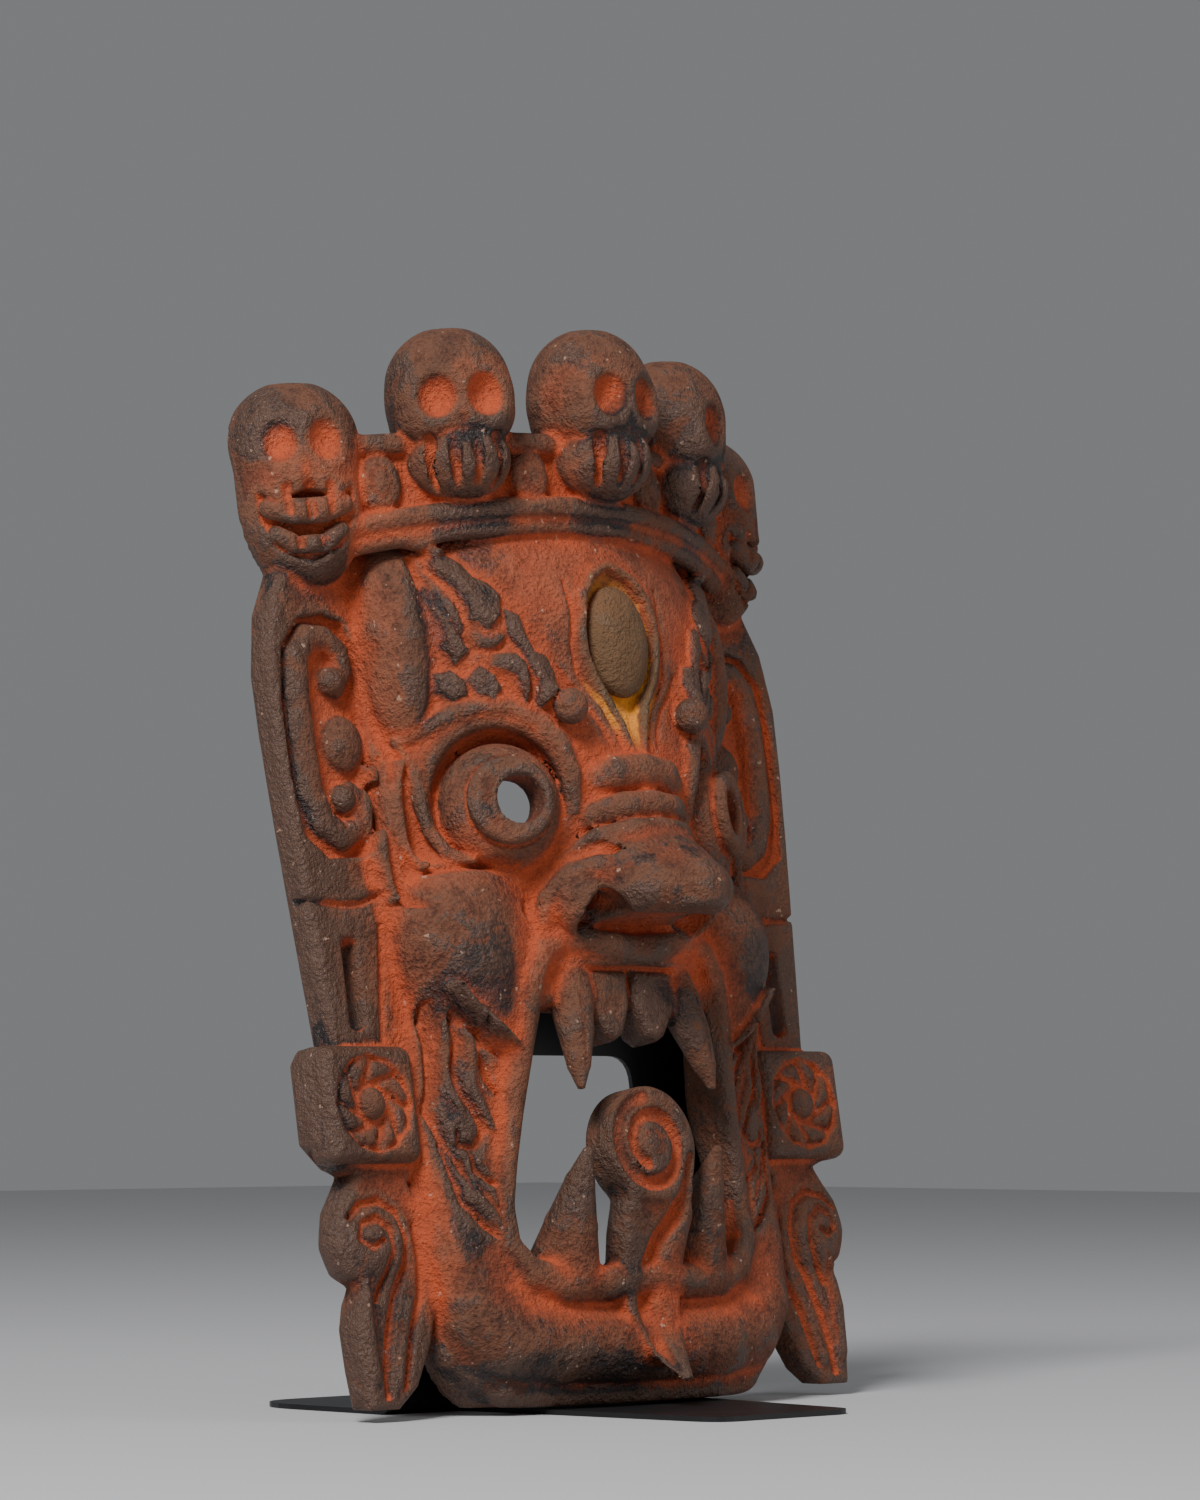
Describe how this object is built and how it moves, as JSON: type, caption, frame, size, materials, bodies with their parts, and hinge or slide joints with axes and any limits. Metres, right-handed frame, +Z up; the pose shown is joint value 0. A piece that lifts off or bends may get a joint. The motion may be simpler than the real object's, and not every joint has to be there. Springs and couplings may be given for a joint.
{
  "type": "bhairava mask on a stand",
  "caption": "Carved and painted wooden mask of a fierce deity with a crown of skulls, held up by a bent steel stand.",
  "frame": {"origin": "on the floor, at the middle of the stand's bend line, on the underside of its tongue", "axes": "+Z up, the face looks along -Y and leans back ten degrees, +X to a viewer's right"},
  "size_m": [0.218, 0.152, 0.3183],
  "materials": {
    "carved_wood": "worn dark paint over orange powder on carved wood, matte",
    "stand_steel": "black satin paint on sheet steel"
  },
  "bodies": {
    "root": {"mask": "carved_wood", "stand": "stand_steel"}
  },
  "joints": []
}
